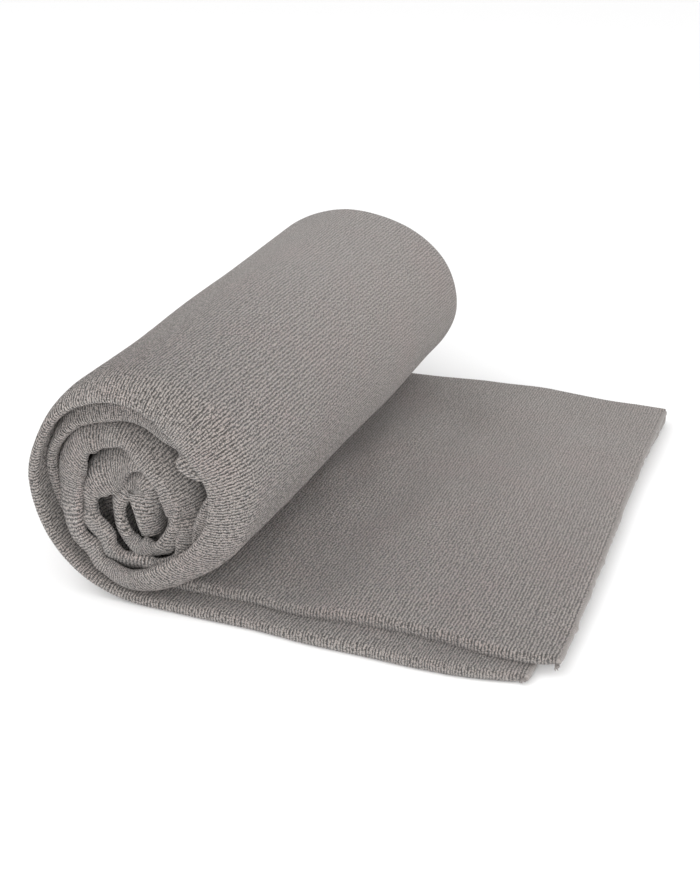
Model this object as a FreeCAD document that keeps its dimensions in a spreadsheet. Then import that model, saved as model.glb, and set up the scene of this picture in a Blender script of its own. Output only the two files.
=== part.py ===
import FreeCAD, Part
import math
import os
import Sketcher

os.makedirs("parts", exist_ok=True)
doc = FreeCAD.newDocument("quick_dry_towel")

# Driving dimensions in millimetres.  The towel is about 1200 x 610 flat, folded once along
# its length (fold at +Y), then rolled from one end; +X runs out along the free tail.
DIMENSIONS = {
    "near_edge": -156.5,          # cut long edge of the lower ply, which is the roll's outer ply
    "upper_near_edge": -142.5,    # cut long edge of the upper ply, set back from the lower one
    "far_edge": 156.5,            # outside of the lengthwise fold
    "fold_depth": 5.0,            # how far the fold bead reaches in from the far edge
    "side_hem_width": 4.0,        # turned and overlocked long edge
    "end_hem_width": 5.0,         # pile-free overlocked strip across each short end
    "end_hem_thickness": 3.0,
    "ply_thickness": 4.9,         # one ply of plush terry, pile on both faces
    "ply_gap": 0.2,
    "turn_pitch": 10.4,           # two plies, the gap between them and the gap to the next turn
    "near_axis_x": -78.9,         # roll section at the near edge: taller than wide
    "near_half_width": 64.2,
    "near_half_height": 67.3,
    "far_axis_x": -66.5,          # roll section at the far edge: squashed and shifted
    "far_half_width": 71.1,
    "far_half_height": 59.9,
    "core_start": 3.0,            # three full turns lie outside the loose core
    "core_end": 3.55,             # here the cloth folds down into the middle of the roll
    "core_fold_offset": 7.5,      # from the spiral's end to the top of the folded stretch
    "core_fold_length": 28.0,
    "near_fold_angle": 114.0,     # slope of the folded stretch, degrees below +X
    "far_fold_angle": 125.0,
    "hinge_x": -23.5,             # line where the tail bends up off the floor
    "hinge_clearance": 0.3,
    "tail_end": 140.5,            # free end of the upper ply
    "lower_ply_end": 128.5,       # the lower ply stops short of the upper one
    "fold_end": 136.0,            # both plies share this end at the lengthwise fold
    "joint_gap": 0.15,            # hairline between neighbouring zones of the cloth
    "thread_radius": 0.7,
    "thread_length": 5.0,
}

sheet = doc.addObject("Spreadsheet::Sheet", "Dimensions")
for row, (name, value) in enumerate(DIMENSIONS.items(), start=1):
    sheet.set("A%d" % row, name)
    sheet.set("B%d" % row, str(value))
    sheet.setAlias("B%d" % row, name)
doc.recompute()


def size(name):
    return float(getattr(sheet, name))


def bind(feature, prop, formula):
    """Drive a property from the spreadsheet; dimension names are written as {name}."""
    names = {name: "Dimensions." + name for name in DIMENSIONS}
    feature.setExpression(prop, formula.format(**names))


def new_body(label):
    body = doc.addObject("PartDesign::Body", label)
    body.Label = label
    return body


def new_sketch(body, name, plane, offset=None):
    """A sketch on one of the body's own origin planes, moved along its normal by offset."""
    sketch = body.newObject("Sketcher::SketchObject", name)
    support = [f for f in body.Origin.OriginFeatures if f.Role == plane][0]
    sketch.AttachmentSupport = [(support, "")]
    sketch.MapMode = "FlatFace"
    if offset is not None:
        bind(sketch, "AttachmentOffset.Base.z", offset)
    return sketch


def closed_outline(sketch, points):
    """Draw straight lines through the points and back to the first."""
    pairs = zip(points, points[1:] + points[:1])
    for (x1, y1), (x2, y2) in pairs:
        start = FreeCAD.Vector(x1, y1, 0)
        sketch.addGeometry(Part.LineSegment(start, FreeCAD.Vector(x2, y2, 0)), False)
    count = len(points)
    for i in range(count):
        sketch.addConstraint(Sketcher.Constraint("Coincident", i, 2, (i + 1) % count, 1))


def pin_point(sketch, line, end, x_formula, y_formula):
    """Fix one corner of an outline by its two distances from the sketch origin."""
    for kind, formula in (("DistanceX", x_formula), ("DistanceY", y_formula)):
        point = sketch.getPoint(line, end)
        value = point.x if kind == "DistanceX" else point.y
        index = sketch.addConstraint(Sketcher.Constraint(kind, -1, 1, line, end, value))
        if formula is not None:
            bind(sketch, "Constraints[%d]" % index, formula)


# The roll's section is an ellipse whose half axes shrink by one turn pitch per turn.
# turn = 0 is underneath; it grows up the -X side, over the top and down the +X side.
def near_to_far(name, y):
    """A section size at this y, in proportion between its near and far values."""
    t = (y - size("near_edge")) / (size("far_edge") - size("near_edge"))
    return (1 - t) * size("near_" + name) + t * size("far_" + name)


def spiral_point(y, turn, depth):
    """Point x, z on the spiral, this far inside the outer face of the cloth."""
    half_height = near_to_far("half_height", y)
    shrink = size("turn_pitch") / (2 * math.pi)
    angle = 2 * math.pi * turn
    a = near_to_far("half_width", y) - shrink * angle
    b = half_height - shrink * angle
    x = near_to_far("axis_x", y) - a * math.sin(angle)
    z = half_height - b * math.cos(angle)
    tangent_x = -a * math.cos(angle) + shrink * math.sin(angle)
    tangent_z = b * math.sin(angle) + shrink * math.cos(angle)
    length = math.hypot(tangent_x, tangent_z)
    return (x + depth * tangent_z / length, z - depth * tangent_x / length)


def ruled_loft(body, label, first, last):
    """Straight-sided solid between two outlines drawn at two y stations."""
    loft = body.newObject("PartDesign::AdditiveLoft", label + "_loft")
    loft.Profile = first
    loft.Sections = [last]
    loft.Ruled = True
    body.Tip = loft
    return body


def strip_sketch(body, name, y_name, y_offset, start, end, outside, inside):
    """Closed outline of a curved strip of cloth, drawn at one end of the roll."""
    y = size(y_name) + y_offset
    sketch = new_sketch(body, name, "XZ_Plane", "-({%s} + %s)" % (y_name, y_offset))
    steps = int(24 * (end - start))
    turns = [start + (end - start) * i / steps for i in range(steps + 1)]
    edges = []
    for depth in (outside, inside):
        points = [FreeCAD.Vector(*spiral_point(y, turn, depth), 0) for turn in turns]
        curve = Part.BSplineCurve()
        curve.interpolate(points)
        edges.append(points)
        sketch.addGeometry(curve, False)
    for i in (0, -1):
        sketch.addGeometry(Part.LineSegment(edges[0][i], edges[1][i]), False)
    return sketch


def spiral_strip(label, start, end, outside, inside, y_from, y_to):
    """One strip of cloth wound from turn start to turn end, between two y stations."""
    body = new_body(label)
    margin = size("joint_gap") / (2 * math.pi * size("near_half_width"))
    first = strip_sketch(body, label + "_first", *y_from, start + margin, end - margin, outside, inside)
    last = strip_sketch(body, label + "_last", *y_to, start + margin, end - margin, outside, inside)
    return ruled_loft(body, label, first, last)


# Depths of the two plies below the roll's outer face, and the y stations of the zones.
ply = size("ply_thickness")
gap = size("ply_gap")
hem = size("side_hem_width")
joint = size("joint_gap")
OUTER_PLY = (0.0, ply)
INNER_PLY = (ply + gap, 2 * ply + gap)
BOTH_PLIES = (0.0, 2 * ply + gap)
OUTER_HEM = (("near_edge", 0.0), ("near_edge", hem))
INNER_HEM = (("upper_near_edge", 0.0), ("upper_near_edge", hem))
OUTER_SPAN = (("near_edge", hem + joint), ("far_edge", -size("fold_depth") - joint))
INNER_SPAN = (("upper_near_edge", hem + joint), ("far_edge", -size("fold_depth") - joint))
FOLD_SPAN = (("far_edge", -size("fold_depth")), ("far_edge", 0.0))


def roll_turns():
    """Three full turns of two-ply cloth, each ply of each turn on its own."""
    for turn, name in enumerate(("outer", "middle", "inner")):
        spiral_strip("roll_%s_turn_outer_ply" % name, turn, turn + 1, *OUTER_PLY, *OUTER_SPAN)
        spiral_strip("roll_%s_turn_inner_ply" % name, turn, turn + 1, *INNER_PLY, *INNER_SPAN)


def core_fold_sketch(body, name, y_name, y_offset, along, across):
    """Outline of a straight strip that slopes down through the middle of the roll."""
    y = size(y_name) + y_offset
    sketch = new_sketch(body, name, "XZ_Plane", "-({%s} + %s)" % (y_name, y_offset))
    outer_x, outer_z = spiral_point(y, size("core_end"), 0.0)
    inner_x, inner_z = spiral_point(y, size("core_end"), 2 * ply + gap)
    reach = size("core_fold_offset") / math.hypot(outer_x - inner_x, outer_z - inner_z)
    top_x = (outer_x + inner_x) / 2 + reach * (outer_z - inner_z)
    top_z = (outer_z + inner_z) / 2 - reach * (outer_x - inner_x)
    angle = math.radians(near_to_far("fold_angle", y))
    down_x, down_z = math.cos(angle), -math.sin(angle)
    corners = [(along[0], across[0]), (along[1], across[0]), (along[1], across[1]), (along[0], across[1])]
    closed_outline(sketch, [
        (top_x + u * down_x - v * down_z, top_z + u * down_z + v * down_x) for u, v in corners
    ])
    return sketch


def core_fold_strip(label, along, across, y_from, y_to):
    """A straight strip of cloth inside the core, between two y stations."""
    body = new_body(label)
    first = core_fold_sketch(body, label + "_first", *y_from, along, across)
    last = core_fold_sketch(body, label + "_last", *y_to, along, across)
    return ruled_loft(body, label, first, last)


def roll_core():
    """The start of the roll: half a turn, a fold through the middle, the hidden short edge."""
    start = size("core_start")
    end = size("core_end")
    length = size("core_fold_length")
    hem_start = length + joint
    hem_span = (hem_start, hem_start + size("end_hem_width"))
    for name, depth, side, span in (("outer", OUTER_PLY, 1, OUTER_SPAN), ("inner", INNER_PLY, -1, INNER_SPAN)):
        spiral_strip("roll_core_%s_ply" % name, start, end, *depth, *span)
        across = (side * gap / 2, side * (gap / 2 + ply))
        core_fold_strip("core_fold_%s_ply" % name, (0.0, length), across, *span)
        across = (side * gap / 2, side * (gap / 2 + size("end_hem_thickness")))
        core_fold_strip("core_%s_end_hem" % name, hem_span, across, *span)


def roll_edges():
    """The lengthwise fold and the two hemmed long edges, wound with the roll."""
    end = size("core_end")
    spiral_strip("roll_lengthwise_fold", 0, end, *BOTH_PLIES, *FOLD_SPAN)
    spiral_strip("roll_outer_ply_side_hem", 0, end, *OUTER_PLY, *OUTER_HEM)
    spiral_strip("roll_inner_ply_side_hem", 0, end, *INNER_PLY, *INNER_HEM)


def underlay(label, near_name, near_offset, bottom):
    """The flat stretch of one ply between the spiral's start and the hinge line."""
    body = new_body(label)
    body.Placement.Base.z = bottom
    sketch = new_sketch(body, label + "_outline", "XY_Plane")
    near = size(near_name) + near_offset
    far = size("far_edge")
    left_near = near_to_far("axis_x", near) + joint
    left_far = near_to_far("axis_x", far) + joint
    right = size("hinge_x") - ply - gap / 2 - size("hinge_clearance")
    closed_outline(sketch, [(left_near, near), (right, near), (right, far), (left_far, far)])
    edge = "{hinge_x} - {ply_thickness} - {ply_gap} / 2 - {hinge_clearance}"
    pin_point(sketch, 0, 1, None, "{%s} + %s" % (near_name, near_offset))
    pin_point(sketch, 1, 1, edge, "{%s} + %s" % (near_name, near_offset))
    pin_point(sketch, 2, 1, edge, "{far_edge}")
    pin_point(sketch, 3, 1, None, "{far_edge}")
    pad = body.newObject("PartDesign::Pad", label + "_pad")
    pad.Profile = sketch
    bind(pad, "Length", "{ply_thickness}")
    body.Tip = pad
    return body


def slab(label, corners, formulas, thickness, bottom):
    """A flat strip of cloth with a rectangular plan, padded up from its underside."""
    x0, y0, x1, y1 = corners
    fx0, fy0, fx1, fy1 = formulas
    body = new_body(label)
    body.Placement.Base.z = bottom
    sketch = new_sketch(body, label + "_outline", "XY_Plane")
    closed_outline(sketch, [(x0, y0), (x1, y0), (x1, y1), (x0, y1)])
    for i, (fx, fy) in enumerate(((fx0, fy0), (fx1, fy0), (fx1, fy1), (fx0, fy1))):
        pin_point(sketch, i, 1, fx, fy)
    pad = body.newObject("PartDesign::Pad", label + "_pad")
    pad.Profile = sketch
    bind(pad, "Length", thickness)
    body.Tip = pad
    return body


def tail_ply(label, near_name, near_offset, end_name, upper):
    """One ply of the free tail; its hinge end is a quarter round about the hinge line."""
    body = new_body(label)
    sketch = new_sketch(body, label + "_profile", "XZ_Plane", "-({%s} + %s)" % (near_name, near_offset))
    radius = ply + gap / 2
    hinge = size("hinge_x")
    inner = radius + gap / 2 if upper else radius - gap / 2
    outer = 2 * radius if upper else 0.0
    end = size(end_name) - size("end_hem_width") - joint
    circle = Part.Circle(FreeCAD.Vector(hinge, radius, 0), FreeCAD.Vector(0, 0, 1), radius)
    trim = math.degrees(math.asin(gap / 2 / radius))
    start, stop = (90, 180 - trim) if upper else (180 + trim, 270)
    arc = Part.ArcOfCircle(circle, math.radians(start), math.radians(stop))
    flat_x = hinge - math.sqrt(radius ** 2 - (gap / 2) ** 2)
    sketch.addGeometry(arc, False)
    corners = [(hinge, outer), (end, outer), (end, inner), (flat_x, inner)]
    for (x1, z1), (x2, z2) in zip(corners, corners[1:]):
        line = Part.LineSegment(FreeCAD.Vector(x1, z1, 0), FreeCAD.Vector(x2, z2, 0))
        sketch.addGeometry(line, False)
    arc_top, arc_side = (1, 2) if upper else (2, 1)
    sketch.addConstraint(Sketcher.Constraint("Coincident", 0, arc_top, 1, 1))
    sketch.addConstraint(Sketcher.Constraint("Coincident", 1, 2, 2, 1))
    sketch.addConstraint(Sketcher.Constraint("Coincident", 2, 2, 3, 1))
    sketch.addConstraint(Sketcher.Constraint("Coincident", 3, 2, 0, arc_side))
    pin_point(sketch, 0, 3, "{hinge_x}", "{ply_thickness} + {ply_gap} / 2")
    end_formula = "{%s} - {end_hem_width} - {joint_gap}" % end_name
    pin_point(sketch, 1, 2, end_formula, None)
    pin_point(sketch, 2, 2, end_formula, None)
    pad = body.newObject("PartDesign::Pad", label + "_pad")
    pad.Profile = sketch
    pad.Reversed = True
    span = "{far_edge} - {fold_depth} - {joint_gap} - {%s} - %s" % (near_name, near_offset)
    bind(pad, "Length", span)
    body.Tip = pad
    return body


def tail_plies():
    """The two plies of the free tail."""
    tail_ply("tail_lower_ply", "near_edge", hem + joint, "lower_ply_end", False)
    tail_ply("tail_upper_ply", "upper_near_edge", hem + joint, "tail_end", True)


def tail_edges():
    """Side hems, the lengthwise fold and the pile-free end hems of the tail."""
    hinge = size("hinge_x")
    end_hem = size("end_hem_width")
    for ply_name, near_name, end_name, bottom in (
        ("lower", "near_edge", "lower_ply_end", 0.0),
        ("upper", "upper_near_edge", "tail_end", ply + gap),
    ):
        near = size(near_name)
        end = size(end_name)
        slab(
            "tail_%s_side_hem" % ply_name,
            (hinge, near, end - end_hem - joint, near + hem),
            (
                "{hinge_x}",
                "{%s}" % near_name,
                "{%s} - {end_hem_width} - {joint_gap}" % end_name,
                "{%s} + {side_hem_width}" % near_name,
            ),
            "{ply_thickness}",
            bottom,
        )
        slab(
            "tail_%s_end_hem" % ply_name,
            (end - end_hem, near, end, size("far_edge") - size("fold_depth") - joint),
            (
                "{%s} - {end_hem_width}" % end_name,
                "{%s}" % near_name,
                "{%s}" % end_name,
                "{far_edge} - {fold_depth} - {joint_gap}",
            ),
            "{end_hem_thickness}",
            bottom,
        )
    slab(
        "tail_lengthwise_fold",
        (hinge, size("far_edge") - size("fold_depth"), size("fold_end"), size("far_edge")),
        ("{hinge_x}", "{far_edge} - {fold_depth}", "{fold_end}", "{far_edge}"),
        "2 * {ply_thickness} + {ply_gap}",
        0.0,
    )


def thread_tail(label, x, y, z, direction):
    """A chain of overlock thread left hanging at the corner of an end hem."""
    thread = doc.addObject("Part::Cylinder", label)
    thread.Label = label
    bind(thread, "Radius", "{thread_radius}")
    bind(thread, "Height", "{thread_length}")
    turn = FreeCAD.Rotation(FreeCAD.Vector(0, 0, 1), direction)
    thread.Placement = FreeCAD.Placement(FreeCAD.Vector(x, y, z), turn)
    return thread


def thread_tails():
    """One short thread at the near corner of each end hem, at half the hem's thickness."""
    inset = size("end_hem_width") / 2
    height = size("end_hem_thickness") / 2
    thread_tail(
        "upper_thread_tail",
        size("tail_end") - inset,
        size("upper_near_edge") - joint,
        ply + gap + height,
        FreeCAD.Vector(0, -1, 0),
    )
    thread_tail(
        "lower_thread_tail",
        size("lower_ply_end") + joint,
        size("near_edge") + inset,
        height,
        FreeCAD.Vector(1, 0, 0),
    )


roll_turns()
roll_core()
roll_edges()
underlay("underlay_lower_ply", "near_edge", 0.0, 0.0)
underlay("underlay_upper_ply", "upper_near_edge", 0.0, ply + gap)
tail_plies()
tail_edges()
thread_tails()
doc.recompute()

# Every body is checked before anything is written.
pieces = [o for o in doc.Objects if o.TypeId in ("PartDesign::Body", "Part::Cylinder")]
for item in doc.Objects:
    bad = [s for s in item.State if s in ("Invalid", "Error")]
    if bad:
        raise RuntimeError("%s did not recompute: %s" % (item.Label, bad))
for piece in pieces:
    shape = piece.Shape
    if shape.isNull() or not shape.isValid() or shape.Volume < 1.0:
        raise RuntimeError("%s has no valid solid" % piece.Label)
for piece in pieces:
    piece.Shape.exportStep("parts/%s.step" % piece.Label)
    box = piece.Shape.BoundBox
    print("%-28s %9.0f mm3  x %7.1f %7.1f  y %7.1f %7.1f  z %6.1f %6.1f" % (
        piece.Label, piece.Shape.Volume, box.XMin, box.XMax, box.YMin, box.YMax, box.ZMin, box.ZMax))
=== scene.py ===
import math

import bpy
import numpy as np
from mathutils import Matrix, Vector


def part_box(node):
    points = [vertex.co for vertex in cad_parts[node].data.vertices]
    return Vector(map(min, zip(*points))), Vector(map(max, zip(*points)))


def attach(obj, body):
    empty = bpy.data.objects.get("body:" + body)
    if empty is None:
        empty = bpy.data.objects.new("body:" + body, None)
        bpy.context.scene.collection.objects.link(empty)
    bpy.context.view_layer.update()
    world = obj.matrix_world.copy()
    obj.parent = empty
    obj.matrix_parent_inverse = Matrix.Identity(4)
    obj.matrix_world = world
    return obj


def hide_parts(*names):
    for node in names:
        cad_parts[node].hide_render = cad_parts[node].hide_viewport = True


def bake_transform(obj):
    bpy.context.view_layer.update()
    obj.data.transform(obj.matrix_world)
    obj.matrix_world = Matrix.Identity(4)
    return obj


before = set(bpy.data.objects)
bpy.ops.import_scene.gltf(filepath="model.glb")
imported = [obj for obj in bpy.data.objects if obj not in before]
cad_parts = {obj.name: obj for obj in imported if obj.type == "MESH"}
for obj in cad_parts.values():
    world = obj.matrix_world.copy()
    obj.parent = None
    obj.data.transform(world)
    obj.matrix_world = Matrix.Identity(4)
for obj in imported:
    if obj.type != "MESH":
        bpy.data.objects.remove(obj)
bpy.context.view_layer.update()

# ------------------------------------------------------------------ the tail
# The towel's free end: plush microfibre terry, folded once along its length, so that two plies
# lie flat on the floor.  The same cloth goes on into the roll, so this section also sets what
# all of it shares: its route, the lie of its near edges, its rows of loops and its pile.

ROW = 0.00165                  # distance from one row of loops to the next
PLY = 0.0049                   # one ply, pile on both faces
PACK = 0.0100                  # two plies lying on each other
PITCH = 0.0104                 # from one turn of the roll to the next
FLAT_ROWS = 125                # rows of loops between the free end and the start of the roll
FLAT = FLAT_ROWS * ROW

near_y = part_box("roll_outer_ply_side_hem")[0][1]
far_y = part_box("roll_lengthwise_fold")[1][1]


def section_of(node):
    """Axis x, half width and half height of the spiral whose outline fills this node's box."""
    low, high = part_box(node)
    half_width = (high[0] - low[0] + PITCH) / 2
    half_height = (high[2] - low[2] + PITCH / 2) / 2
    return low[0] + half_width - PITCH / 4, half_width, half_height


NEAR = section_of("roll_outer_ply_side_hem")
FAR = section_of("roll_lengthwise_fold")
LIP = (NEAR[0] - 0.0045, NEAR[1] - 0.0035, NEAR[2] - 0.0052)   # the roll's mouth is drawn in
LIP_REACH = 0.026              # over this much of its near end
TAIL_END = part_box("tail_upper_end_hem")[1][0] - 0.0045


def through(knots, values, at):
    """Smooth curve through the knots: cubic Hermite pieces with slopes from the neighbours."""
    knots = np.asarray(knots, float)
    values = np.asarray(values, float)
    slopes = np.gradient(values, knots, axis=0)
    i = np.clip(np.searchsorted(knots, at) - 1, 0, len(knots) - 2)
    width = knots[i + 1] - knots[i]
    t = np.clip((at - knots[i]) / width, 0, 1)
    if values.ndim > 1:
        width = width[..., None]
        t = t[..., None]
    return (
        (2 * t**3 - 3 * t**2 + 1) * values[i]
        + (t**3 - 2 * t**2 + t) * width * slopes[i]
        + (3 * t**2 - 2 * t**3) * values[i + 1]
        + (t**3 - t**2) * width * slopes[i + 1]
    )


def ease(t):
    """0 below 0, 1 above 1, smoothstep between."""
    t = np.clip(t, 0, 1)
    return t * t * (3 - 2 * t)


def spiral(section, turn):
    """Middle line of the two plies: an ellipse that shrinks by one pitch per turn."""
    axis_x, half_width, half_height = section
    angle = 2 * np.pi * turn
    a = half_width - PACK / 2 - PITCH * turn
    b = half_height - PACK / 2 - PITCH * turn
    return np.stack([axis_x - a * np.sin(angle), half_height - b * np.cos(angle)], -1)


# Turns against distance, on the mean of the two end sections.
ROLL_TURNS = 3.55
turn_table = np.linspace(0, ROLL_TURNS, 1421)
mean_line = (spiral(NEAR, turn_table) + spiral(FAR, turn_table)) / 2
turn_length = np.concatenate([[0.0], np.cumsum(np.hypot(*np.diff(mean_line, axis=0).T))])
ROLL_LENGTH = turn_length[-1]
FOLD_LENGTH = 0.036            # the folded stretch through the middle of the core
FOLD_TURN = 0.2                # length that counts as one turn in that stretch
CORE_CORNER = 0.0075           # it goes straight on for this long before it slopes down
NEAR_SLOPE, FAR_SLOPE = 114, 125   # and then lies at these angles, in degrees


def turn_at(reach):
    """Turns from the start of the roll; the flat tail counts from -1 at its free end."""
    in_roll = np.interp(reach - FLAT, turn_length, turn_table)
    beyond = np.maximum(reach - FLAT - ROLL_LENGTH, 0) / FOLD_TURN
    return np.where(reach < FLAT, reach / FLAT - 1, in_roll + beyond)


def row_at(turn):
    """The row of loops nearest to this turn."""
    return round((FLAT + np.interp(turn, turn_table, turn_length)) / ROW)


def regular(section, turn, reach, slope):
    """Flat tail, spiral, then a straight stretch that slopes down through the core."""
    flat_x = section[0] + (TAIL_END - section[0]) * np.maximum(FLAT - reach, 0) / FLAT
    flat = np.stack([flat_x, np.full_like(turn, PACK / 2)], -1)
    wound = spiral(section, np.clip(turn, 0, ROLL_TURNS))
    before_end, end = spiral(section, turn_table[-2:])
    heading = (end - before_end) / np.hypot(*(end - before_end))
    down = np.array([np.cos(np.radians(slope)), -np.sin(np.radians(slope))])
    past = np.maximum(reach - FLAT - ROLL_LENGTH, 0)[:, None]
    core = end + heading * np.minimum(past, CORE_CORNER) + down * np.maximum(past - CORE_CORNER, 0)
    line = np.where((reach < FLAT)[:, None], flat, wound)
    return np.where((reach > FLAT + ROLL_LENGTH)[:, None], core, line)


# The near end's own route from the last of the outer turn on, crumpled towards the core: turns,
# then the point of the middle line in millimetres, across and up from the roll's foot.
CRUMPLED_FROM = 0.88           # turns
CRUMPLE_HOLD, CRUMPLE_FADE = 0.010, 0.045   # it holds this far in, then dies away over this much
CORE_HOLD, CORE_FADE = 0.060, 0.035    # and this much more towards the core
FOOT_X = NEAR[0] - 0.0026      # the roll's foot, a little left of its axis
NEAR_ROUTE = (
    (0.86, 33, 30), (0.93, 16, 14), (1.0, -3, 10), (1.08, -21, 15), (1.17, -37, 31), (1.25, -46, 54),
    (1.34, -43, 76), (1.42, -30, 91), (1.5, -12, 94), (1.6, 7, 86), (1.68, 19, 72), (1.76, 26, 57),
    (1.85, 27, 41), (1.93, 21, 26), (1.98, 11, 19), (2.03, -3, 19), (2.1, -18, 23.5), (2.18, -29, 36),
    (2.26, -34, 51), (2.33, -31, 65), (2.41, -20, 77), (2.5, -6, 82), (2.58, 6, 79), (2.67, 13, 69),
    (2.76, 17, 56), (2.86, 16, 43), (2.95, 11, 32), (3.03, 1, 28.5), (3.11, -9, 33.5), (3.2, -12, 45),
    (3.29, -13, 57), (3.37, -9, 68), (3.46, 0, 72), (3.55, 6, 66), (3.64, 3.5, 51), (3.73, 3, 38),
)


def crumpled(turn):
    """Middle line of the crumpled near end: a smooth curve through the listed points."""
    route = np.array(NEAR_ROUTE)
    return through(route[:, 0], route[:, 1:] / 1000 + [FOOT_X, 0], np.clip(turn, route[0, 0], route[-1, 0]))


def middle_line(reach, y):
    """Points (x, z) of the middle line at these reaches and widths, both (rows, places).

    Near section to far section in proportion to y, drawn in at the mouth, and blended into the
    crumpled route near the open end; the crumple goes deeper towards the core.
    """
    row = reach[:, 0]
    turn = turn_at(row)
    near = regular(NEAR, turn, row, NEAR_SLOPE)
    far = regular(FAR, turn, row, FAR_SLOPE)
    lip = regular(LIP, turn, row, NEAR_SLOPE)
    lip[row < FLAT] = near[row < FLAT]
    t = ((y - near_y) / (far_y - near_y))[..., None]
    pinch = (np.clip(1 - (y - near_y) / LIP_REACH, 0, 1) ** 2)[..., None]
    pinch = pinch * ease(turn / 0.1)[:, None, None]
    line = (1 - pinch) * ((1 - t) * near[:, None] + t * far[:, None]) + pinch * lip[:, None]
    deeper = np.clip((turn[:, None] - 1.1) / 1.1, 0, 1)
    past_start = y - near_y - (CRUMPLE_HOLD + CORE_HOLD * deeper)
    share = ease((turn - CRUMPLED_FROM) / 0.12)[:, None]
    share = share * (1 - ease(past_start / (CRUMPLE_FADE + CORE_FADE * deeper)))
    return line + share[..., None] * (crumpled(turn)[:, None] - line)


# How the near edges lie: turns, then each ply's set-back from the near end (mm), the angle its
# edge bends in through (degrees), the radius of that bend (mm) and its thickness there (mm).
LOWER_EDGE = (
    (-1.0, 1.5, 0, 10, 6.0), (-0.93, -1.5, 0, 10, 6.0), (-0.85, -3.8, 0, 10, 6.2), (-0.7, -4.4, 0, 10, 6.3),
    (-0.55, -3.0, 0, 10, 6.3), (-0.42, -1.8, 0, 10, 6.3), (-0.3, 1.2, 0, 10, 6.2), (-0.15, 2.4, 0, 10, 6.0),
    (0.0, 4.0, 0, 10, 5.8), (0.25, 5.0, 5, 10, 5.6), (0.34, 5.0, 20, 12, 5.2), (0.42, 5.0, 40, 11, 5.2),
    (0.5, 4.5, 62, 10, 5.0), (0.57, 4.5, 80, 12, 5.0), (0.64, 4.5, 84, 14, 5.0), (0.75, 5.0, 78, 13, 5.2),
    (0.9, 1.0, 78, 14, 5.4), (1.0, -2.0, 82, 15, 5.4), (1.1, 2.0, 82, 14, 5.6), (1.19, 5.0, 82, 12, 5.6),
    (1.26, 7.0, 85, 15, 5.6), (1.34, 7.0, 88, 17, 5.6), (1.42, 8.0, 82, 13, 5.6), (1.5, 9.0, 78, 12, 5.6),
    (1.6, 9.0, 80, 13, 5.4), (1.68, 9.0, 82, 15, 5.4), (1.8, 10.0, 75, 15, 5.4), (1.9, 9.0, 70, 10, 5.4),
    (2.0, 5.5, 75, 10, 5.8), (2.1, 4.5, 80, 12, 6.2), (2.2, 4.5, 84, 15, 6.2), (2.27, 7.0, 80, 13, 5.8),
    (2.33, 6.5, 84, 17, 6.0), (2.45, 8.0, 84, 15, 5.8), (2.55, 9.0, 70, 9, 5.6), (2.62, 9.0, 50, 7, 5.4),
    (2.75, 11.0, 40, 5, 5.4), (2.95, 6.0, 75, 9, 5.8), (3.05, 5.0, 80, 10, 6.0), (3.14, 6.0, 76, 10, 5.8),
    (3.25, 8.0, 60, 8, 5.4), (3.34, 8.0, 80, 11, 5.8), (3.46, 6.0, 84, 13, 5.8), (3.56, 5.5, 84, 13, 5.8),
    (3.73, 10.0, 60, 8, 5.4), (4.0, 13.0, 40, 6, 5.4),
)
UPPER_EDGE = (
    (-1.0, 12.0, 0, 10, 6.0), (-0.93, 10.4, 0, 10, 6.2), (-0.83, 10.3, 0, 10, 6.3), (-0.72, 13.5, 0, 10, 6.3),
    (-0.65, 14.8, 0, 10, 6.3), (-0.5, 14.5, 0, 10, 6.3), (-0.4, 14.2, 0, 10, 6.3), (-0.28, 17.0, 0, 10, 6.2),
    (-0.18, 16.5, 0, 10, 6.0), (0.0, 18.0, 0, 10, 5.5), (0.24, 15.0, 5, 8, 5.5), (0.33, 10.5, 45, 14, 6.0),
    (0.42, 10.0, 75, 16, 6.0), (0.5, 9.8, 80, 17, 6.0), (0.57, 9.8, 84, 19, 6.0), (0.64, 9.8, 84, 19.5, 6.0),
    (0.66, 8.6, 88, 21, 7.2), (0.68, 9.5, 86, 19, 7.0), (0.7, 13.0, 72, 14.5, 6.0), (0.74, 12.0, 74, 15, 5.8),
    (0.78, 10.0, 80, 16, 6.0), (0.85, 10.0, 76, 15, 6.0), (0.92, 13.0, 40, 10, 5.6), (1.02, 20.0, 5, 8, 5.4),
    (1.15, 24.0, 0, 8, 5.2), (1.5, 26.0, 0, 8, 5.2), (1.85, 26.0, 0, 8, 5.2), (2.0, 28.0, 0, 6, 5.2),
    (2.25, 32.0, 0, 6, 5.2), (2.5, 24.0, 10, 6, 5.2), (2.75, 18.0, 20, 6, 5.4), (3.0, 22.0, 20, 6, 5.4),
    (3.12, 34.0, 0, 6, 5.0), (3.4, 30.0, 0, 6, 5.0), (3.6, 22.0, 20, 6, 5.4), (4.0, 20.0, 20, 6, 5.4),
)
# How far the lengthwise fold lies past the far end, in millimetres, against turns.
FOLD_EDGE = (
    (-1.0, -2.0), (-0.9, -1.2), (-0.78, -1.0), (-0.62, 2.6), (-0.52, 2.4), (-0.4, 1.2), (-0.25, -2.2),
    (0.0, -2.0), (0.4, 0.5), (0.8, -1.5), (1.2, 0.0), (1.7, -2.0), (2.4, -1.0), (3.1, -2.5), (4.0, -2.0),
)

noise_rng = np.random.default_rng(7)
NOISE = noise_rng.normal(size=(900, 160))


def soft_noise(u, v):
    """Smooth random field: eased bilinear between seeded random numbers on a unit grid."""
    u = np.mod(u, 898)
    v = np.mod(v, 158)
    i, j = u.astype(int), v.astype(int)
    a, b = ease(u - i), ease(v - j)
    return (
        (1 - a) * (1 - b) * NOISE[i, j] + a * (1 - b) * NOISE[i + 1, j]
        + (1 - a) * b * NOISE[i, j + 1] + a * b * NOISE[i + 1, j + 1]
    )


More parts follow.
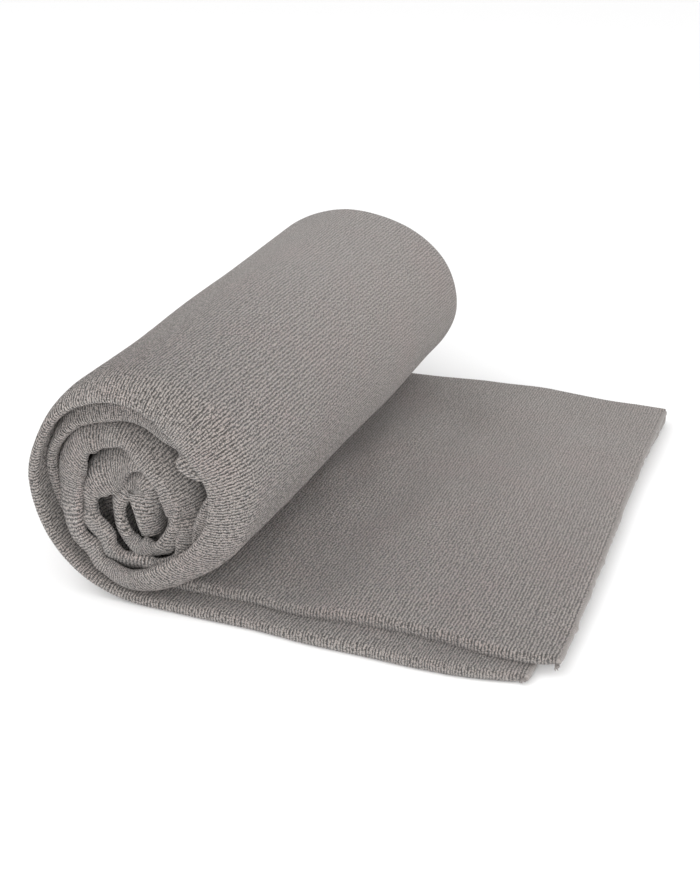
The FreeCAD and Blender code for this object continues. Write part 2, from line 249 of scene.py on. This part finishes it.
def against_turns(table, turn):
    """Smooth values of a table's columns at these turns."""
    table = np.array(table, float)
    return through(table[:, 0], table[:, 1:], turn[:, 0]).T[:, :, None]


def near_edge(reach, turn, is_upper):
    """Set-back, bend angle, bend radius and half thickness of a ply's near edge.

    The tables' values; from the second turn on they also wander along the cloth.
    """
    lower = against_turns(LOWER_EDGE, turn)
    upper = against_turns(UPPER_EDGE, turn)
    setback, bend, radius, thick = np.where(is_upper, upper, lower)
    uneven = ease((turn - 1.02) / 0.1) * np.where(is_upper, 0.5, 1.0)
    setback = setback + 1.1 * uneven * soft_noise(reach / 0.011 + 5, 3.3)
    radius = radius / 1000 * (1 + 0.16 * uneven * soft_noise(reach / 0.013 + 31, 8.1))
    thick = thick * (1 + 0.10 * uneven * soft_noise(reach / 0.009 + 77, 12.6))
    return setback / 1000, np.radians(np.maximum(bend, 0.5)), radius, thick / 2000


def end_x(y, upper):
    """Where the cloth ends: 1 is the upper ply, which reaches further at the near edge, 0 the
    lower ply; the two meet halfway at the lengthwise fold.
    """
    t = np.clip((y - near_y) / (far_y - near_y), 0, 1)
    at_fold = ease((t - 0.93) / 0.06)
    upper_end = TAIL_END + 0.0025 - 0.0070 * t + 0.0010 * np.sin(7 * t)
    lower_end = TAIL_END - 0.0105 + 0.0062 * t
    share = upper * (1 - at_fold) + at_fold / 2
    return lower_end + (upper_end - lower_end) * share


def tail_waves(x, y):
    """Low waves of the flat tail, less towards the fold, with a shallow trough beside the roll."""
    long_waves = 0.0011 * soft_noise(x / 0.038 + 12, y / 0.06 + 9)
    short_waves = 0.0006 * soft_noise(x / 0.017 + 40, y / 0.03 + 31)
    trough = 0.0022 * np.exp(-(((x - 0.008 - 0.1 * y) / 0.016) ** 2))
    level = 1 - 0.8 * ease((y - far_y + 0.06) / 0.05)
    return level * (long_waves + short_waves - trough) + 0.001


def swell(reach, turn, y):
    """Unevenness in depth: broad on the outer turn, small lumps at the inner turns' near edges."""
    outer_turn = ease((turn - 0.1) / 0.15) * (1 - ease((turn - 0.95) / 0.1))
    broad = 0.0006 * soft_noise(reach / 0.045 + 70, y / 0.07 + 21)
    broad = broad + 0.0003 * soft_noise(reach / 0.02, y / 0.15 + 50)
    inner_edges = ease((turn - 1.02) / 0.1) * (1 - ease((y - near_y - 0.010) / 0.02))
    return outer_turn * broad + inner_edges * 0.0007 * soft_noise(reach / 0.012 + 15, y / 0.02 + 60)


LOWER, UPPER, FOLD, CREASE = 0, 1, 2, 3    # the two plies, the fold, and the crease inside it
CLOSE = 13                     # places along the first stretch in from a near edge
CLOSE_SHARE = 0.09             # that stretch, as a share of the ply's width
HIDDEN = 6                     # places across each face that lies against the other ply
BEAD = 9                       # places round an edge bead, and round the fold
PER_ROW = 4                    # steps along the cloth in each row of loops
RELIEF = 0.0004                # height of the rows of loops
FLATTENS_OVER = 0.22           # and how far in from the near end they have flattened
EDGE_FADE = 0.012              # the thick edge thins to the plain ply over this much
END_TAPER = 0.009              # the cloth thins into the end hem over this much
END_PULL = 0.09                # stretch of the tail over which the end's own outline takes over
CREASE_RADIUS = 0.0001
APART = 1.02                   # the two plies' middles lie this many plies apart
PILE_INSIDE = 0.03             # the plies' facing sides have loops this far in from the near edge


def places(outer, inner):
    """The section, once round, as rows: ply, share of the width, step outward past the edge, step
    deeper into the roll (both in half thicknesses), and 1 on the two faces that are seen.
    """
    def across(count):
        """Shares of the width: close together by the near edge, then even to the fold."""
        rest = np.linspace(CLOSE_SHARE, 1, count + 1)[1:]
        return np.concatenate([np.linspace(0, CLOSE_SHARE, CLOSE), rest])

    def strip(ply, shares, deep, seen):
        """One face of a ply, at these shares of the width."""
        return np.stack(np.broadcast_arrays(ply, shares, 0.0, deep, seen), -1)

    def arc(ply, share, out, deep):
        """Half a circle round an edge or the fold, without its two ends."""
        angle = np.linspace(0, np.pi, BEAD + 2)[1:-1]
        return np.stack(np.broadcast_arrays(ply, share, out * np.sin(angle), deep * np.cos(angle), 0), -1)

    return np.concatenate([
        strip(LOWER, across(outer), -1.0, 1), arc(FOLD, 1, 1, -1),
        strip(UPPER, across(inner)[::-1], 1.0, 1), arc(UPPER, 0, -1, 1),
        strip(UPPER, across(HIDDEN), -1.0, 0), arc(CREASE, 1, 1, 1),
        strip(LOWER, across(HIDDEN)[::-1], 1.0, 0), arc(LOWER, 0, -1, 1),
    ])


def rows_of_loops(reach, run, y, pitch):
    """Height of the pile: a rounded ridge |sin|^0.7 on each row with a narrow groove between,
    uneven from place to place, and flatter towards the far end.
    """
    ridge = np.abs(np.sin(np.pi * reach / pitch)) ** 0.7
    uneven = 0.75 + 0.25 * soft_noise(reach / ROW + 40, run / 0.006 + 60)
    flattened = 1 - 0.5 * np.clip((y - near_y) / FLATTENS_OVER, 0, 1)
    return RELIEF * (ridge - 0.5) * uneven * flattened


def surface(name, vertices, reach):
    """Mesh from a grid closed round the section, with a flat face over each end; its UV map is
    metres along the piece and metres round its section.
    """
    rows, around = vertices.shape[:2]
    index = np.arange(rows * around).reshape(rows, around)
    beside = np.roll(index, -1, axis=1)
    quads = np.stack([index[:-1], index[1:], beside[1:], beside[:-1]], -1).reshape(-1, 4)
    faces = quads.tolist() + [index[0].tolist(), index[-1, ::-1].tolist()]
    mesh = bpy.data.meshes.new(name)
    mesh.from_pydata(vertices.reshape(-1, 3), [], faces)
    smooth = np.ones(len(faces), bool)
    smooth[-2:] = False
    mesh.polygons.foreach_set("use_smooth", smooth)
    ends = np.empty(len(mesh.edges) * 2, np.int32)
    mesh.edges.foreach_get("vertices", ends)
    row_of = ends.reshape(-1, 2) // around
    rim = (row_of[:, 0] == row_of[:, 1]) & ((row_of[:, 0] == 0) | (row_of[:, 0] == rows - 1))
    mesh.attributes.new("sharp_edge", "BOOLEAN", "EDGE").data.foreach_set("value", rim)
    middle_row = vertices[rows // 2]
    step = np.linalg.norm(np.roll(middle_row, -1, 0) - middle_row, axis=1)
    gone = np.concatenate([[0], np.cumsum(step)])
    grid = (rows - 1, around, 4)
    u = np.broadcast_to(np.stack([reach[:-1], reach[1:], reach[1:], reach[:-1]], -1), grid)
    v = np.broadcast_to(np.stack([gone[:-1], gone[:-1], gone[1:], gone[1:]], -1)[None], grid)
    end_faces = vertices[[0, -1]][:, :, [2, 1]]
    end_faces[1] = end_faces[1, ::-1]
    uv = np.concatenate([np.stack([u, v], -1).reshape(-1, 2), end_faces.reshape(-1, 2)])
    mesh.uv_layers.new(name="cloth").data.foreach_set("uv", uv.astype(np.float32).ravel())
    mesh.update()
    piece = bpy.data.objects.new(name, mesh)
    bpy.context.scene.collection.objects.link(piece)
    return piece


def cloth(name, first_row, last_row, outer, inner, pitch=ROW):
    """Closed two-ply strip between two rows of loops; returns the object.

    Position = middle line + depth * inward normal.  Each ply runs straight in from a circular
    bend at its near edge to the lengthwise fold, a half circle over both plies.  The middle line
    is read at the place without its loops, so that their noise doesn't disturb its direction.
    Outer and inner are the numbers of places across the strip's two outside faces.
    """
    count = (last_row - first_row) * PER_ROW + 1
    reach = np.linspace(first_row * ROW, last_row * ROW, count)[:, None]
    turn = turn_at(reach)
    ply, share, out, deep, seen = places(outer, inner).T[:, None, :]
    setback, bend, radius, half_edge = near_edge(reach, turn, (ply == UPPER) | (ply == CREASE))
    fold = far_y + against_turns(FOLD_EDGE, turn)[0] / 1000 - PACK / 2
    start = near_y + setback + half_edge
    run = share * (fold - start)
    arc = radius * bend
    angle = bend * np.clip(1 - run / arc, 0, 1)
    in_bend = start + radius * (np.sin(bend) - np.sin(angle))
    bend_end = start + radius * np.sin(bend)
    straight = np.maximum(run - arc, 0) / np.maximum(fold - start - arc, 1e-6)
    centre_y = np.where(run < arc, in_bend, bend_end + straight * (fold - bend_end))
    centre_depth = np.where(ply == UPPER, 1.0, -1.0) * PLY / 2 * APART + radius * (1 - np.cos(angle))
    half = PLY / 2 + (half_edge - PLY / 2) * np.clip(1 - run / EDGE_FADE, 0, 1) ** 1.5
    half = half * (0.5 + 0.5 * ease(reach / END_TAPER) ** 0.5)

    raised = rows_of_loops(reach, run, centre_y, pitch)
    raised = raised * ((seen == 1) | (run < PILE_INSIDE) | (ply == FOLD))
    grown = half + raised
    smooth_y = centre_y + half * (deep * np.sin(angle) + out * np.cos(angle))
    y = centre_y + grown * (deep * np.sin(angle) + out * np.cos(angle))
    depth = centre_depth + grown * (deep * np.cos(angle) - out * np.sin(angle))
    in_fold = ply >= FOLD
    fold_radius = np.where(ply == FOLD, PACK / 2 + raised, CREASE_RADIUS)
    smooth_y = np.where(in_fold, fold + out * PACK / 2 * (ply == FOLD), smooth_y)
    y = np.where(in_fold, fold + out * fold_radius, y)
    depth = np.where(in_fold, deep * fold_radius, depth)

    line = middle_line(reach, smooth_y)
    along = np.gradient(line, axis=0)
    along /= np.linalg.norm(along, axis=-1, keepdims=True)
    inward = np.stack([along[..., 1], -along[..., 0]], -1)
    x, z = np.moveaxis(line + inward * (depth + swell(reach, turn, y))[..., None], -1, 0)
    which = np.select([ply == UPPER, ply == LOWER], [1.0, 0.0], 0.5)
    x = x + ease(1 - reach / END_PULL) * (end_x(y, which) - TAIL_END)
    z = z + tail_waves(x, y) * np.clip(z / PACK, 0, 1) * np.clip(-turn / 0.1, 0, 1)
    return surface(name, np.stack([x, y, z], -1), reach * ROW / pitch)


def add_node(tree, kind, values, **settings):
    """New shader node with these settings; a socket's value is a number or another's output."""
    node = tree.nodes.new(kind)
    for name, value in settings.items():
        setattr(node, name, value)
    for socket, value in values.items():
        if isinstance(value, bpy.types.NodeSocket):
            tree.links.new(value, node.inputs[socket])
        else:
            node.inputs[socket].default_value = value
    return node


def terry_group():
    """Shader group: height of rows of loops, and a mask of painted shade in the grooves between them, from a
    map in metres.

    Rows are |sin| ridges that wander a little; the painted groove shade is deepest in broken dashes between
    the rows and in the gaps between the loops' cells, and fibres speckle it.
    """
    tree = bpy.data.node_groups.new("terry loops", "ShaderNodeTree")
    tree.interface.new_socket("Map", in_out="INPUT", socket_type="NodeSocketVector")
    for name in ("Row pitch", "Loop pitch", "Dash length"):
        tree.interface.new_socket(name, in_out="INPUT", socket_type="NodeSocketFloat")
    for name in ("Height", "Groove shade"):
        tree.interface.new_socket(name, in_out="OUTPUT", socket_type="NodeSocketFloat")
    given = tree.nodes.new("NodeGroupInput").outputs
    result = tree.nodes.new("NodeGroupOutput").inputs

    def maths(kind, a, b=0.5, clamp=False):
        """Output of one step of arithmetic on a and b."""
        return add_node(tree, "ShaderNodeMath", {0: a, 1: b}, operation=kind, use_clamp=clamp).outputs[0]

    def noise(where, scale, detail):
        """Smooth random value over the map, this many patches to its unit."""
        values = {"Vector": where, "Scale": scale, "Detail": detail}
        return add_node(tree, "ShaderNodeTexNoise", values, noise_dimensions="2D").outputs["Fac"]

    place = add_node(tree, "ShaderNodeSeparateXYZ", {0: given["Map"]}).outputs
    wander = noise(given["Map"], 420.0, 3.0)
    fibre = noise(given["Map"], 1500.0, 2.0)
    shift = maths("MULTIPLY", maths("SUBTRACT", wander, 0.5), 1.15)
    rows = maths("ADD", maths("DIVIDE", place["X"], given["Row pitch"]), shift)
    ridge = maths("POWER", maths("ABSOLUTE", maths("SINE", maths("MULTIPLY", rows, math.pi))), 0.8)

    loops = maths("DIVIDE", place["Y"], given["Loop pitch"])
    cell_map = add_node(tree, "ShaderNodeCombineXYZ", {0: rows, 1: loops}).outputs[0]
    cells = add_node(
        tree, "ShaderNodeTexVoronoi", {"Vector": cell_map, "Scale": 1.0, "Randomness": 0.85},
        voronoi_dimensions="2D",
    )
    dome = maths("SUBTRACT", 1.0, cells.outputs["Distance"], clamp=True)

    dashes = maths("DIVIDE", place["Y"], given["Dash length"])
    dash_map = add_node(tree, "ShaderNodeCombineXYZ", {0: maths("MULTIPLY", rows, 0.8), 1: dashes}).outputs[0]
    dash = maths("MULTIPLY", maths("SUBTRACT", noise(dash_map, 1.0, 1.5), 0.3), 2.5, clamp=True)
    strength = maths("ADD", maths("MULTIPLY", dash, 1.4), 0.4)
    valley = maths("MULTIPLY", maths("SUBTRACT", 1.0, ridge), strength)
    gap = maths("MULTIPLY", maths("SUBTRACT", 1.0, dome), 0.75)
    speckle = maths("MULTIPLY", maths("SUBTRACT", fibre, 0.5), 2.2)
    # painted shade: this mask darkens the valleys between rows and the gaps between loops, where shade falls,
    # with fibre speckle on top
    groove = maths("ADD", maths("ADD", valley, gap), speckle, clamp=True)
    height = maths("ADD", maths("MULTIPLY", dome, 0.45), maths("MULTIPLY", ridge, 0.55))
    height = maths("ADD", height, fibre)
    tree.links.new(height, result["Height"])
    tree.links.new(groove, result["Groove shade"])
    return tree


LOOP = 0.0010                  # from one loop to the next in a row
DASH = 0.0024                  # length of the broken dashes between rows
PILE_COLOUR = (0.362, 0.323, 0.300, 1)
WARM_COLOUR = (0.372, 0.317, 0.296, 1)     # where the dye took a little warmer
# painted shade: a dark colour mixed in where the grooves between rows of loops would lie in shade
GROOVE_SHADE_COLOUR = (0.045, 0.040, 0.036, 1)
GROOVE_SHADE_SHARE = 0.56            # average share of painted groove shade, which stays where the loops lie flat


def terry_material():
    """Warm grey microfibre pile: matt, with a soft sheen, and painted shade between the rows.

    The loops stand up at the near end and lie flatter, with shallower grooves and less painted groove shade,
    further back.
    """
    material = bpy.data.materials.new("terry pile")
    material.use_nodes = True
    tree = material.node_tree
    shader = tree.nodes["Principled BSDF"]
    shader.inputs["Roughness"].default_value = 0.95
    shader.inputs["Sheen Weight"].default_value = 0.35
    shader.inputs["Sheen Roughness"].default_value = 0.5
    shader.inputs["Specular IOR Level"].default_value = 0.15
    where = add_node(tree, "ShaderNodeUVMap", {}, uv_map="cloth").outputs["UV"]
    loops = add_node(
        tree, "ShaderNodeGroup",
        {"Map": where, "Row pitch": ROW, "Loop pitch": LOOP, "Dash length": DASH},
        node_tree=terry_group(),
    ).outputs
    patch = add_node(
        tree, "ShaderNodeTexNoise", {"Vector": where, "Scale": 28.0, "Detail": 2.0}, noise_dimensions="2D"
    ).outputs["Fac"]
    warm = add_node(tree, "ShaderNodeMapRange", {"Value": patch, "From Min": 0.45, "From Max": 0.75})
    base = add_node(
        tree, "ShaderNodeMix", {"A": PILE_COLOUR, "B": WARM_COLOUR, "Factor": warm.outputs["Result"]},
        data_type="RGBA",
    )
    deep = add_node(tree, "ShaderNodeMapRange", {"Value": loops["Groove shade"], "From Min": 0.3, "From Max": 0.8})
    spot = add_node(tree, "ShaderNodeTexCoord", {}).outputs["Object"]
    back = add_node(tree, "ShaderNodeSeparateXYZ", {0: spot}).outputs["Y"]
    standing = add_node(
        tree, "ShaderNodeMapRange",
        {
            "Value": back, "From Min": near_y, "From Max": near_y + FLATTENS_OVER,
            "To Min": 1.0, "To Max": 0.5,
        },
    ).outputs["Result"]
    # painted shade: how much of the dark groove colour goes into the pile, full at the near end and evened
    # out further back
    shade = add_node(
        tree, "ShaderNodeMix", {"A": GROOVE_SHADE_SHARE, "B": deep.outputs["Result"], "Factor": standing}
    )
    colour = add_node(
        tree, "ShaderNodeMix",
        {"A": base.outputs["Result"], "B": GROOVE_SHADE_COLOUR, "Factor": shade.outputs["Result"]},
        data_type="RGBA",
    )
    bump = add_node(
        tree, "ShaderNodeBump", {"Height": loops["Height"], "Strength": standing, "Distance": 0.0012}
    )
    tree.links.new(colour.outputs["Result"], shader.inputs["Base Color"])
    tree.links.new(bump.outputs["Normal"], shader.inputs["Normal"])
    return material


PILE = terry_material()
RUNS_UNDER = 0.012             # the tail's piece runs on this far under the roll
tail_row = int((TAIL_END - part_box("underlay_lower_ply")[1][0] + RUNS_UNDER) / ROW)
tail = cloth("tail_cloth", 0, tail_row, 34, 60)
tail.data.materials.append(PILE)
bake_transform(tail)
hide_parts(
    "tail_lower_ply", "tail_upper_ply", "tail_lower_side_hem", "tail_upper_side_hem",
    "tail_lengthwise_fold",
)

# ------------------------------------------------------------------ the end hem
# A narrow band of overlock stitching in polyester thread over the cloth's free end.  It has no
# pile, so it is a thin smooth strip along both plies and round the lengthwise fold.

HEM_BACK = 0.0014              # how far the band reaches onto the pile
HEM_FRONT = 0.0011             # how far it stands beyond the cloth's end
HEM_THICK = 0.0036
HEM_ROUND = 0.0012             # its two ends are rounded over this length
HEM_STEPS, HEM_SIDES = 1600, 24
STITCH = 0.0016                # from one overlock stitch to the next
WAVE_UNIT = 2 * math.pi / 20   # a wave texture of scale 1 has one band in this length
# painted shade: the stitches' colour is darker in their dips and lighter on their tops, following their
# relief
STITCH_DIP_SHADE = (0.185, 0.168, 0.158, 1)
STITCH_HIGH = (0.265, 0.242, 0.228, 1)


def near_corner(edge):
    """Where a ply's near corner lies at the free end, from its table of edges."""
    return near_y + edge[0][1] / 1000


def hem_path(count):
    """Centre line of the band in (y, z): lower ply, half circle at the fold, upper ply."""
    low, high = near_corner(LOWER_EDGE), near_corner(UPPER_EDGE)
    fold = far_y + FOLD_EDGE[0][1] / 1000 - PACK / 2
    half_turn = np.pi * PLY / 2
    s = np.linspace(0, (fold - low) + half_turn + (fold - high), count)
    past = s - (fold - low)
    angle = np.clip(past / (PLY / 2), 0, np.pi)
    round_fold = fold + PLY / 2 * np.sin(angle)
    y = np.select([past < 0, angle < np.pi], [low + s, round_fold], fold - (past - half_turn))
    z = PACK / 2 - PLY / 2 * np.cos(angle)
    return s, y, z, angle


def hem_band():
    """Closed flat tube: a rounded strip section carried along the path, ribbed by its stitches."""
    s, y, z, angle = (v[:, None] for v in hem_path(HEM_STEPS))
    round_at = np.linspace(0, 2 * np.pi, HEM_SIDES + 1)[:-1][None]
    across = np.sign(np.cos(round_at)) * np.abs(np.cos(round_at)) ** 0.8
    along_x = np.where(across > 0, across * HEM_FRONT, across * HEM_BACK)
    thick = HEM_THICK / 2 * np.sign(np.sin(round_at)) * np.abs(np.sin(round_at)) ** 0.7
    thick = thick * (1 - 0.25 * np.clip(across, 0, 1))
    rib = 1 + 0.10 * np.cos(2 * np.pi * s / STITCH + 1.2 * across)
    rounded_end = np.sqrt(np.clip(np.minimum(s, s[-1] - s) / HEM_ROUND, 0, 1))
    thick = thick * rib * (0.25 + 0.75 * rounded_end)
    x = end_x(y, (1 - np.cos(angle)) / 2) + along_x + 0.0003 * soft_noise(s / 0.004 + 3, 5.0)
    rise = tail_waves(x, y) * np.clip(z / PACK, 0, 1)
    vertices = np.stack([x, y - thick * np.sin(angle), z + rise + thick * np.cos(angle)], -1)
    return surface("end_hem", vertices, s)


def hem_material():
    """Tight polyester overlock: the same grey, smoother, with fine cross stitches, their dips painted darker
    as shade.
    """
    material = bpy.data.materials.new("overlocked hem")
    material.use_nodes = True
    tree = material.node_tree
    shader = tree.nodes["Principled BSDF"]
    shader.inputs["Roughness"].default_value = 0.8
    shader.inputs["Sheen Weight"].default_value = 0.2
    where = add_node(tree, "ShaderNodeUVMap", {}, uv_map="cloth").outputs["UV"]
    stitches = add_node(
        tree, "ShaderNodeTexWave", {"Vector": where, "Scale": WAVE_UNIT / STITCH, "Distortion": 1.5}
    ).outputs["Fac"]
    # painted shade: the stitch pattern drives both colour and bump, so the dips are painted darker
    colour = add_node(
        tree, "ShaderNodeMix", {"A": STITCH_DIP_SHADE, "B": STITCH_HIGH, "Factor": stitches}, data_type="RGBA"
    )
    bump = add_node(tree, "ShaderNodeBump", {"Height": stitches, "Strength": 0.5, "Distance": 0.0003})
    tree.links.new(colour.outputs["Result"], shader.inputs["Base Color"])
    tree.links.new(bump.outputs["Normal"], shader.inputs["Normal"])
    return material


end_hem = hem_band()
end_hem.data.materials.append(hem_material())
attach(end_hem, "tail")
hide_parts("tail_upper_end_hem", "tail_lower_end_hem")

# ------------------------------------------------------------------ the corner thread tails
# Overlock thread, a few strands at each near corner of the free end: the stitching runs off the
# hem there and is cut short.

STRANDS = 6
STRAND_STEPS, STRAND_SIDES = 18, 8
STRAND_RADIUS = 0.0006
STRAND_CURL = 0.0007
SHORTEST, LONGER = 0.0014, 0.0012      # a strand's least length, and how much more it may be
THREAD_COLOUR = (0.17, 0.155, 0.147, 1)


def strand_tuft(name, start, aim, seed):
    """Closed tubes of twisted thread: each strand bends away from the aim, curls and tapers."""
    rng = np.random.default_rng(seed)
    t = np.linspace(0, 1, STRAND_STEPS)[:, None, None]
    around = np.linspace(0, 2 * np.pi, STRAND_SIDES + 1)[:-1][None, :, None]
    aim = np.array(aim) / np.linalg.norm(aim)
    side = np.cross(aim, [0.3, 0.2, 1.0])
    side /= np.linalg.norm(side)
    other = np.cross(aim, side)
    radius = STRAND_RADIUS * (1 - 0.6 * t**3) * np.sqrt(np.clip(t / 0.05, 0.05, 1))
    ring = radius * (np.cos(around) * side + np.sin(around) * other)
    per_strand = STRAND_STEPS * STRAND_SIDES
    vertices, faces = [], []
    for strand in range(STRANDS):
        lean = rng.normal(size=3) * 0.3
        length = SHORTEST + LONGER * rng.random()
        twist = rng.random() * 2 * np.pi + 7 * t
        curl = STRAND_CURL * (np.cos(twist) * side + np.sin(twist) * other)
        path = np.array(start) + (aim + lean * t) * t * length + curl
        vertices.append((path + ring).reshape(-1, 3))
        index = np.arange(per_strand).reshape(STRAND_STEPS, STRAND_SIDES) + per_strand * strand
        beside = np.roll(index, -1, axis=1)
        faces += np.stack([index[:-1], beside[:-1], beside[1:], index[1:]], -1).reshape(-1, 4).tolist()
        faces += [index[0, ::-1].tolist(), index[-1].tolist()]
    mesh = bpy.data.meshes.new(name)
    mesh.from_pydata(np.concatenate(vertices), [], faces)
    mesh.polygons.foreach_set("use_smooth", np.ones(len(faces), bool))
    mesh.update()
    tuft = bpy.data.objects.new(name, mesh)
    bpy.context.scene.collection.objects.link(tuft)
    return tuft


thread = bpy.data.materials.new("overlock thread")
thread.use_nodes = True
thread_shader = thread.node_tree.nodes["Principled BSDF"]
thread_shader.inputs["Base Color"].default_value = THREAD_COLOUR
thread_shader.inputs["Roughness"].default_value = 0.7

for layer, edge, upper, height, aim, seed in (
    ("upper", UPPER_EDGE, 1.0, 0.0068, (0.25, -1, -0.35), 3),
    ("lower", LOWER_EDGE, 0.0, 0.0024, (-0.35, -1, -0.1), 5),
):
    corner_y = near_corner(edge)
    root = (float(end_x(corner_y, upper)) - 0.001, corner_y + 0.001, height)
    tuft = strand_tuft(layer + "_thread_tuft", root, aim, seed)
    tuft.data.materials.append(thread)
    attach(tuft, "tail")
    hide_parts(layer + "_thread_tail")

# ------------------------------------------------------------------ the outer turn, rising
# The first stretch of the roll: the same two plies of terry pass under it and come up its left
# side.  Nothing fixes it but its own weight and the friction between plies.


def turn_of_roll(name, first_row, last_row, outer, inner, stands_for=(), pitch=ROW):
    """A stretch of the rolled cloth with its pile, riding on the roll."""
    piece = cloth(name, first_row, last_row, outer, inner, pitch)
    piece.data.materials.append(PILE)
    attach(piece, "roll")
    if stands_for:
        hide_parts(*stands_for)


rising_end = row_at(0.26)
turn_of_roll("outer_turn_rising", tail_row, rising_end, 34, 20, stands_for=(
    "underlay_lower_ply", "underlay_upper_ply", "roll_outer_turn_outer_ply", "roll_outer_turn_inner_ply",
    "roll_outer_ply_side_hem", "roll_inner_ply_side_hem", "roll_lengthwise_fold",
))

# ------------------------------------------------------------------ the outer turn, over the top
# The rest of the outer turn, of the same terry, over the top and down the right side.  It is
# rolled by hand, and its near edge is drawn in to make the roll's mouth.

outer_end = row_at(1.0)
turn_of_roll("outer_turn_over", rising_end, outer_end, 30, 9)

# ------------------------------------------------------------------ the middle turn
# The second turn of the same terry, whose near edge curls over into the mouth.  Its loops stand
# further apart, because the cloth is stretched round that curl.

STRETCHED_ROW = 1.3 * ROW
middle_end = row_at(2.0)
turn_of_roll("middle_turn", outer_end, middle_end, 9, 9, pitch=STRETCHED_ROW, stands_for=(
    "roll_middle_turn_outer_ply", "roll_middle_turn_inner_ply",
))

# ------------------------------------------------------------------ the inner turn and the core
# The third turn and the folded start of the roll, of the same terry, loosely crumpled at the
# near end, with the cloth's other end inside.  Its rows are stretched a little more.

CRUMPLED_ROW = 1.4 * ROW
cloth_end = int((FLAT + ROLL_LENGTH + FOLD_LENGTH) / ROW)
turn_of_roll("inner_turn_and_core", middle_end, cloth_end, 9, 9, pitch=CRUMPLED_ROW, stands_for=(
    "roll_inner_turn_outer_ply", "roll_inner_turn_inner_ply", "roll_core_outer_ply", "roll_core_inner_ply",
    "core_fold_outer_ply", "core_fold_inner_ply", "core_outer_end_hem", "core_inner_end_hem",
))

# ------------------------------------------------------------------ floor, light and camera
# A plain pale floor in an even white surround, with three soft lights: from above on the left,
# from the front, which opens up the roll's mouth, and from the right.

FLOOR_HALF = 3.0
FLOOR_DROP = 0.0006            # the pile sinks this far past the frame's floor
floor_mesh = bpy.data.meshes.new("floor")
floor_corners = [(x * FLOOR_HALF, y * FLOOR_HALF, 0) for x, y in ((-1, -1), (1, -1), (1, 1), (-1, 1))]
floor_mesh.from_pydata(floor_corners, [], [(0, 1, 2, 3)])
floor = bpy.data.objects.new("floor", floor_mesh)
floor.location.z = -FLOOR_DROP
bpy.context.scene.collection.objects.link(floor)
floor_material = bpy.data.materials.new("pale floor")
floor_material.use_nodes = True
floor_shader = floor_material.node_tree.nodes["Principled BSDF"]
floor_shader.inputs["Base Color"].default_value = (0.94, 0.94, 0.94, 1)
floor_shader.inputs["Roughness"].default_value = 0.9
floor_mesh.materials.append(floor_material)

world = bpy.data.worlds.new("surround")
world.use_nodes = True
world.node_tree.nodes["Background"].inputs["Color"].default_value = (1, 1, 1, 1)
world.node_tree.nodes["Background"].inputs["Strength"].default_value = 0.95
bpy.context.scene.world = world
bpy.context.scene.view_settings.view_transform = "Standard"

LIGHT_AIM = (0, 0, 0.05)
for name, place, width, power in (
    ("key_light", (-0.7, -0.5, 1.1), 0.9, 4.5),
    ("front_light", (0.35, -1.5, 0.55), 1.0, 16),
    ("right_light", (1.4, -0.1, 0.4), 0.8, 5),
):
    light = bpy.data.lights.new(name, "AREA")
    light.size = width
    light.energy = power
    lamp = bpy.data.objects.new(name, light)
    lamp.location = place
    to_aim = np.array(LIGHT_AIM) - np.array(place)
    yaw = math.atan2(to_aim[1], to_aim[0]) - math.pi / 2
    tilt = math.atan2(to_aim[2], math.hypot(to_aim[0], to_aim[1])) + math.pi / 2
    lamp.rotation_euler = (tilt, 0, yaw)
    bpy.context.scene.collection.objects.link(lamp)

AZIMUTH, ELEVATION = math.radians(19.6), math.radians(26.69)
DISTANCE = 0.985
TO_THE_RIGHT, UPWARD = 0.10809, 0.08128    # the roll's foot is left of and below the middle
FOOT_BEHIND = 0.006            # and is taken this far in from the near end
towards_camera = np.array([
    math.sin(AZIMUTH) * math.cos(ELEVATION), -math.cos(AZIMUTH) * math.cos(ELEVATION), math.sin(ELEVATION)
])
sideways = np.array([math.cos(AZIMUTH), math.sin(AZIMUTH), 0])
upwards = np.cross(towards_camera, sideways)
roll_foot = np.array([FOOT_X, near_y + FOOT_BEHIND, 0])
camera_data = bpy.data.cameras.new("camera")
camera_data.lens = 76.5
camera_data.sensor_width = 36
camera = bpy.data.objects.new("camera", camera_data)
camera.location = roll_foot + towards_camera * DISTANCE + sideways * TO_THE_RIGHT + upwards * UPWARD
camera.rotation_euler = (math.pi / 2 - ELEVATION, 0, AZIMUTH)
bpy.context.scene.collection.objects.link(camera)
bpy.context.scene.camera = camera
